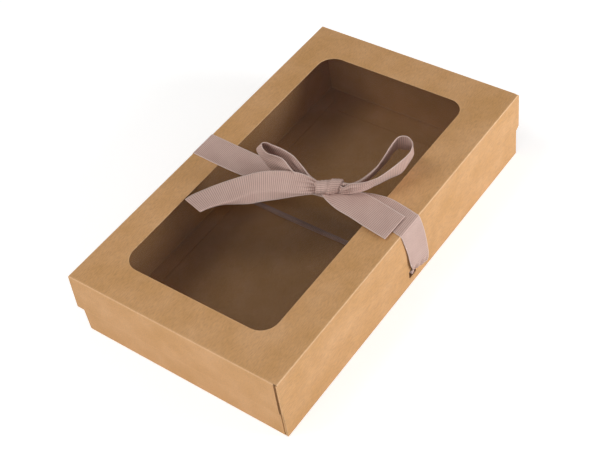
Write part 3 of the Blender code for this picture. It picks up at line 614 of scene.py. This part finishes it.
def base_tray():
    """The base: its floor, outer walls and back wall, folded from one sheet."""
    flat = (FAR_FACE + CREASE, NEAR_FACE - CREASE, FRONT_FACE + CREASE, END_BACK)
    back = LID_Y - CREASE
    xs = spaced(flat[0], flat[1], STEPS_X)
    ys = spaced(flat[2], flat[3], STEPS_Y)
    bm = new_board()
    floor = [([(x, y, 0) for x in xs], 0) for y in [*ys, back]]
    grid(bm, floor, (0, 0, -1))
    crease = list(zip(quarter(CREASE), BASE_WEAR_AND_HIGHLIGHT))
    levels = [(out, out, out, rise, rub_and_highlight) for (out, rise), rub_and_highlight in crease]
    levels += [(CREASE, CREASE, CREASE, z, 0) for z in spaced(WALL_START, RIM_TOP - CREASE, 5)]
    grid(bm, round_three_sides(flat, levels, xs, ys), (0, 0, -1))
    narrow = [FAR_FACE, *xs, NEAR_FACE]
    rows = [([(x, back + out, rise) for x in narrow], rub_and_highlight) for (out, rise), rub_and_highlight in crease]
    rows += [([(x, LID_Y, z) for x in narrow], 0) for z in (WALL_START, 0.01, 0.02, STEP)]
    wide = [-LID_X, *xs, LID_X]
    heights = spaced(STEP + STEP_RISE, HEIGHT - CREASE, 4)
    rows += [([(x, LID_Y, z) for x in wide], 0) for z in heights]
    grid(bm, rows, (0, 0, -1))
    cutters = [slot_cutter(face - SLOT_CUT, face + SLOT_CUT) for face in (LID_Y, FRONT_FACE)]
    nodes = ["base_floor", "front_wall", "end_wall_near", "end_wall_far", "back_wall"]
    board("base_tray", bm, "base", nodes, cutters)
    for cutter in cutters:
        bpy.data.objects.remove(cutter, do_unlink=True)


def rim_and_liner(width):
    """The fold over a hollow wall: how far in, how high, and how much wear and painted highlight each step
    of it has.
    """
    steps = [(inset, RIM_TOP - CREASE + rise, 0.5) for rise, inset in quarter(CREASE)]
    steps += [(width - CREASE + out, RIM_TOP - down, 0.5) for out, down in quarter(CREASE)]
    steps += [(width, z, 0) for z in spaced(RIM_TOP - 0.002, FLAP_TOP + 0.002, 4)]
    foot = [(width + inwards, FLAP_TOP + INNER_CREASE - down, 0.4)
            for down, inwards in quarter(INNER_CREASE)]
    return steps + foot + [(width + INNER_CREASE + GAP, FLAP_TOP, 0.2)]


def base_liners():
    """The tops and inner faces of the three hollow walls, one folded strip each."""
    bm = new_board()
    start = FRONT_FACE + FRONT_RIM + GAP
    for face, inward in ((NEAR_FACE, -1), (FAR_FACE, 1)):
        ys = spaced(start, END_BACK, STEPS_Y)
        rows = [([(face + inward * inset, y, z) for y in ys], wear_and_highlight)
                for inset, z, wear_and_highlight in rim_and_liner(END_RIM)]
        grid(bm, rows, (-inward, 0, 0))
    nodes = ["end_rim_near", "end_rim_far", "end_liner_near", "end_liner_far"]
    board("end_folds", bm, "base", nodes)
    bm = new_board()
    xs = spaced(FAR_FACE + BOARD + GAP, NEAR_FACE - BOARD - GAP, STEPS_X)
    rows = [([(x, FRONT_FACE + inset, z) for x in xs], wear_and_highlight)
            for inset, z, wear_and_highlight in rim_and_liner(FRONT_RIM)]
    grid(bm, rows, (0, -1, 0))
    cutter = slot_cutter(FRONT_FACE + 0.003, FRONT_FACE + 0.009)
    board("front_fold", bm, "base", ["front_rim", "front_liner"], [cutter])
    bpy.data.objects.remove(cutter, do_unlink=True)


# Ribbon

def smooth_through(rows, share):
    """Values read at a share of the way along a smooth curve through the rows."""
    place_on = share * (len(rows) - 1)
    i = min(int(place_on), len(rows) - 2)
    t = place_on - i
    p1 = rows[i]
    p2 = rows[i + 1]
    p0 = rows[i - 1] if i else [2 * a - b for a, b in zip(p1, p2)]
    p3 = rows[i + 2] if i + 2 < len(rows) else [2 * b - a for a, b in zip(p1, p2)]
    values = []
    for a, b, c, d in zip(p0, p1, p2, p3):
        square = 2 * a - 5 * b + 4 * c - d
        cube = 3 * b - a - 3 * c + d
        values.append(b + ((c - a) * t + square * t**2 + cube * t**3) / 2)
    return values


def stations_along(rows, count):
    """A ribbon's edges at even shares of rows of its middle x, y, z and width vector x, y, z."""
    stations = []
    for i in range(count + 1):
        values = smooth_through(rows, i / count)
        stations.append(edges_of(Vector(values[:3]), Vector(values[3:])))
    return stations


def edges_of(middle, width):
    """The two edge points of a ribbon this wide about its middle."""
    return (middle - width / 2, middle + width / 2)


def middle_of(edges):
    """The mean of a station's points."""
    return sum(edges, Vector()) / len(edges)


def from_knot(rows, count):
    """A ribbon's edges through rows of their points, in millimetres from the knot's middle.

    Where a row has three points, the one between the edges is on a fold.
    """
    stations = []
    for i in range(count + 1):
        values = smooth_through(rows, i / count)
        stations.append([KNOT + MM * Vector(values[k:k + 3]) for k in range(0, len(values), 3)])
    return stations


def cloth(name, bands, nodes, flat_length, held, rests_on, body="lid"):
    """Ribbon from bands of rows of points, with its length and width laid out for its weave."""
    bm = bmesh.new()
    chart = bm.loops.layers.uv.new("cloth")
    for rows, closed in bands:
        made = [[bm.verts.new(point) for point in points] for points, _ in rows]
        if closed:
            made.append(made[0])
        for i, (row, following) in enumerate(zip(made, made[1:])):
            for j in range(len(row) - 1):
                face = bm.faces.new((row[j], row[j + 1], following[j + 1], following[j]))
                length = rows[-1][1] + rows[1][1]
                on = (rows[i][1], rows[i + 1][1] if i + 1 < len(rows) else length)
                wide = [RIBBON_WIDTH * (k / (len(row) - 1) - 0.5) for k in (j, j + 1)]
                for loop, place in zip(face.loops, ((wide[0], on[0]), (wide[1], on[0]),
                                                    (wide[1], on[1]), (wide[0], on[1]))):
                    loop[chart].uv = place
    mesh = mesh_of(name, bm, CLOTH_MATERIAL)
    mesh.shade_smooth()
    made = placed(name, mesh)
    thick = made.modifiers.new("thickness", "SOLIDIFY")
    thick.thickness = CLOTH
    thick.offset = 0
    if body:
        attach(made, body)
    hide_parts(*nodes)
    return made


def length_of(stations):
    """How far it is along the stations' middles."""
    middles = [middle_of(edges) for edges in stations]
    return sum((b - a).length for a, b in zip(middles, middles[1:]))


def across(edges, distance):
    """The point this far from the first edge, rounded where the ribbon is folded."""
    legs = [b - a for a, b in zip(edges, edges[1:])]
    if len(legs) == 1:
        return edges[0] + legs[0].normalized() * distance
    point = Vector()
    for off, share in ((-FOLD_ROUND, 0.25), (0, 0.5), (FOLD_ROUND, 0.25)):
        on = distance + off
        before = min(on, legs[0].length)
        on_first = edges[0] + legs[0].normalized() * before
        point += share * (on_first + legs[1].normalized() * (on - before))
    return point


def gathered(stations, pleats, deepest):
    """Rows across a ribbon from its edges, pleated where they are closer than its cloth is wide."""
    rows = []
    travelled = 0
    last = len(stations) - 1
    middles = [middle_of(edges) for edges in stations]
    for i, edges in enumerate(stations):
        if i:
            travelled += (middles[i] - middles[i - 1]).length
        along = middles[min(i + 1, last)] - middles[max(i - 1, 0)]
        normal = along.cross(edges[-1] - edges[0]).normalized()
        narrow = sum((b - a).length for a, b in zip(edges, edges[1:]))
        spare = max((GATHERED * RIBBON_WIDTH / narrow) ** 2 - 1, 0)
        depth = min(narrow / (4 * pleats) * math.sqrt(spare), deepest)
        points = []
        for j in range(ACROSS + 1):
            t = j / ACROSS
            lift = depth * math.sin(2 * math.pi * pleats * t + 0.9 * math.sin(4 * i / last))
            points.append(across(edges, narrow * t) + normal * lift)
        rows.append((points, travelled))
    return rows


def strap_rows(top_x, drift, wall_top, wall_foot, slot_face, side):
    """Stations of a strap down a wall into its slot, as the CAD lays it. side is +1 at the back."""
    stand_off = side * (GAP + RIBBON / 2)
    mouth = slot_face - side * 0.001
    rows = []
    for wall, below, drifted, width, bulged, inwards, slant in STRAP_ROWS:
        on_wall = wall_top + (wall_foot - wall_top) * wall + stand_off
        on_wall += side * STRAP_BULGE * bulged
        x = drift * drifted + (top_x * (1 - drifted) if wall < 1 else 0)
        y = on_wall + (mouth - on_wall) * inwards
        z = HEIGHT + (LID_FOOT - HEIGHT) * wall + (SLOT[1] - LID_FOOT) * below
        wide = RIBBON_WIDTH * width
        rows.append((x, y, z, wide, -side * 0.15 * wide * slant, 0.25 * wide * slant))
    return rows


def round_edge(x, side):
    """The ribbon's stations up over the lid's long edge. side is +1 at the back."""
    reach = LID_Y - CREASE
    turn = CREASE + CLOTH / 2 + LIFT
    stations = []
    for i in range(1, EDGE_STEPS):
        angle = math.pi / 2 * i / EDGE_STEPS
        middle = Vector((x, side * (reach + turn * math.cos(angle)),
                         HEIGHT - CREASE + turn * math.sin(angle)))
        stations.append(edges_of(middle, Vector((RIBBON_WIDTH, 0, 0))))
    return stations


def box_ribbon():
    """The ribbon from the front slot over the lid and down to the back slot, in one piece."""
    front_x = RIBBON_WIDTH * TOP_RUN[0][1]
    back_x = RIBBON_WIDTH * TOP_RUN[-1][1]
    front = strap_rows(front_x, 0, -LID_Y, -LID_Y - FRONT_FLARE, FRONT_FACE, -1)
    back = strap_rows(back_x, -STRAP_DRIFT, LID_Y, LID_Y, LID_Y, 1)
    reach = LID_Y - CREASE
    lies = HEIGHT + CLOTH / 2 + LIFT
    top = [(RIBBON_WIDTH * drift, reach * along, lies, RIBBON_WIDTH * width, 0, 0)
           for along, drift, width in TOP_RUN]
    stations = [s for s in reversed(stations_along(front, 48)) if s[0].z < HEIGHT - CREASE]
    stations += round_edge(front_x, -1)
    stations += stations_along(top, 110)
    stations += reversed(round_edge(back_x, 1))
    stations += [s for s in stations_along(back, 48) if s[0].z < HEIGHT - CREASE]
    nodes = ["ribbon_front_strap", "ribbon_top_run", "ribbon_back_strap"]
    made = cloth("box_ribbon", [(gathered(stations, 3, 0.0007), False)], nodes, length_of(stations),
                 "stretched", ["lid_board", "base_tray"], None)
    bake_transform(made, "lid", "base", start=(0, LID_Y - 0.002, REST),
             end=(0, LID_Y + 0.0005, HEIGHT - 0.002))


def inside_ribbon():
    """The ribbon bunched into a strand, drawn from slot to slot across the inside."""
    front = FRONT_FACE - STRAND_END
    back = LID_Y + STRAND_END
    stations = []
    count = 60
    for i in range(count + 1):
        share = i / count
        sag = STRAND_SAG * (1 - (2 * share - 1) ** 2)
        middle = Vector((0, front + (back - front) * share, SLOT[1] - sag))
        width = Vector((STRAND_WIDTH, 0, STRAND_ROLL * math.sin(5 * share)))
        stations.append(edges_of(middle, width))
    bands = [(gathered(stations, 3, 0.0017), False)]
    cloth("inside_ribbon", bands, ["ribbon_inner_run"], back - front, "gathered", ["base_tray"],
          "base")


def bow_piece(name, rows, count, pleats, deepest, node, held, rests_on):
    """A loop or tail of the bow: count steps along its rows, pleated where it is gathered."""
    stations = from_knot(rows, count)
    bands = [(gathered(stations, pleats, deepest), False)]
    cloth(name, bands, [node], length_of(stations), held, rests_on)


def bow_loops():
    """The bow's loops, each out from the knot and back."""
    bow_piece("left_loop", LEFT_LOOP, 150, 3, 0.0014, "bow_loop_left", "folded",
              ["knot_wraps", "box_ribbon"])
    bow_piece("right_loop", RIGHT_LOOP, 170, 3, 0.0014, "bow_loop_right", "folded", ["knot_wraps"])


def bow_tails():
    """The bow's tails, from the knot to their cut ends on the lid."""
    bow_piece("left_tail", LEFT_TAIL, 110, 5, 0.0013, "bow_tail_left", "laid",
              ["knot_wraps", "lid_board"])
    bow_piece("right_tail", RIGHT_TAIL, 80, 3, 0.0006, "bow_tail_right", "laid",
              ["box_ribbon", "lid_board"])


def wrap(start, end, girth, taper, tilt, phase):
    """Rows of one turn of the knot: a gathered sleeve round the bow with its edges tucked in.

    It slants by tilt, and narrows by taper towards its end.
    """
    rows = []
    count = 56
    round_it = math.pi * (KNOT_WIDTH + KNOT_HEIGHT) / 2 * girth * (1 - taper / 2)
    travelled = 0
    for i in range(count):
        turn = 2 * math.pi * i / count
        points = []
        for j in range(ACROSS + 1):
            on, radius = smooth_through(KNOT_PROFILE, j / ACROSS)
            radius = radius * girth * (1 - taper * on) * (1 + 0.02 * math.sin(3 * turn + phase))
            shift = 0.0003 * math.sin(2 * turn + phase) - tilt * math.cos(turn + 0.75)
            aside = KNOT_SIDE * KNOT_WIDTH / 2 * radius * math.cos(turn)
            lift = UP * KNOT_HEIGHT / 2 * radius * math.sin(turn)
            along = KNOT_AXIS * (start + (end - start) * on + shift)
            points.append(KNOT_LIES + along + aside + lift)
        rows.append((points, travelled))
        travelled += round_it / count
    return rows, round_it


def knot_wraps():
    """The knot: two gathered turns of ribbon, the slanting one lapped over the other."""
    wide, first = wrap(-0.0098, 0.0030, 0.83, 0, 0.0003, 0.4)
    lapped, second = wrap(-0.0004, 0.0090, 0.97, 0.20, 0.0024, 2.1)
    bands = [(wide, True), (lapped, True)]
    cloth("knot_wraps", bands, ["bow_knot"], first + second, "gathered", ["box_ribbon"])


# The room

def area_lamp(name, place, size, power, colour):
    """A round lamp turned towards the box."""
    light = bpy.data.lights.new(name, "AREA")
    light.shape = "DISK"
    light.size = size
    light.energy = power
    light.color = colour
    lamp = placed(name, light)
    lamp.location = place
    lamp.rotation_euler = (AIM - Vector(place)).to_track_quat("-Z", "Y").to_euler()


def seen_white(tree):
    """1 for the rays that show the white room: to the camera, in gloss and through the film."""
    path = add(tree, "LightPath")
    seen = path.outputs["Is Camera Ray"]
    for ray in ("Is Glossy Ray", "Is Transmission Ray"):
        either = add(tree, "Math", {0: seen, 1: path.outputs[ray]}, operation="MAXIMUM")
        seen = either.outputs["Value"]
    return seen


def room():
    """A white floor and white surroundings, with soft light from the right and behind."""
    scene = bpy.context.scene
    scene.view_settings.view_transform = "Standard"
    world = bpy.data.worlds.new("studio")
    scene.world = world
    world.use_nodes = True
    tree = world.node_tree
    tree.nodes.clear()
    strength = add(tree, "MapRange", {"Value": seen_white(tree), "To Min": WORLD_LIGHT,
                                      "To Max": 1.0})
    light = add(tree, "Background", {"Color": (1, 1, 1, 1), "Strength": strength.outputs["Result"]})
    add(tree, "OutputWorld", {"Surface": light.outputs["Background"]})
    bm = bmesh.new()
    bmesh.ops.create_circle(bm, cap_ends=True, segments=64, radius=FLOOR_RADIUS)
    made, tree, shader = material("floor_white_paper", (0.8, 0.8, 0.8, 1), 0.9, 0.2)
    floor = placed("floor", mesh_of("floor", bm, made))
    floor.location = (0, 0, -FLOOR_DROP)
    dim = add(tree, "Math", {0: seen_white(tree), 1: FLOOR_GLOW}, operation="MULTIPLY")
    glow = add(tree, "Emission", {"Color": (1, 1, 1, 1), "Strength": dim.outputs["Value"]})
    both = add(tree, "AddShader", {0: shader.outputs["BSDF"], 1: glow.outputs["Emission"]})
    tree.links.new(both.outputs["Shader"], tree.nodes["Material Output"].inputs["Surface"])
    for name, (place, size, power, colour) in LAMPS.items():
        area_lamp(name, place, size, power, colour)


def camera():
    """The photograph's camera."""
    data = bpy.data.cameras.new("camera")
    data.sensor_width = CAMERA_SENSOR
    data.lens = CAMERA_LENS
    data.clip_start = 0.05
    data.clip_end = 20
    made = placed("camera", data)
    turn = Matrix((CAMERA_RIGHT, -CAMERA_DOWN, -CAMERA_AHEAD)).transposed().to_4x4()
    made.matrix_world = Matrix.Translation(CAMERA_PLACE) @ turn
    bpy.context.scene.camera = made


def main():
    """Dresses the part and keeps its size."""
    camera()
    room()
    for name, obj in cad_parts.items():
        finish = FILM if name == "window_film" else KRAFT
        for i in range(len(obj.material_slots)):
            obj.material_slots[i].material = finish
    lid_board()
    hinge_crease()
    base_tray()
    base_liners()
    box_ribbon()
    inside_ribbon()
    knot_wraps()
    bow_loops()
    bow_tails()


main()
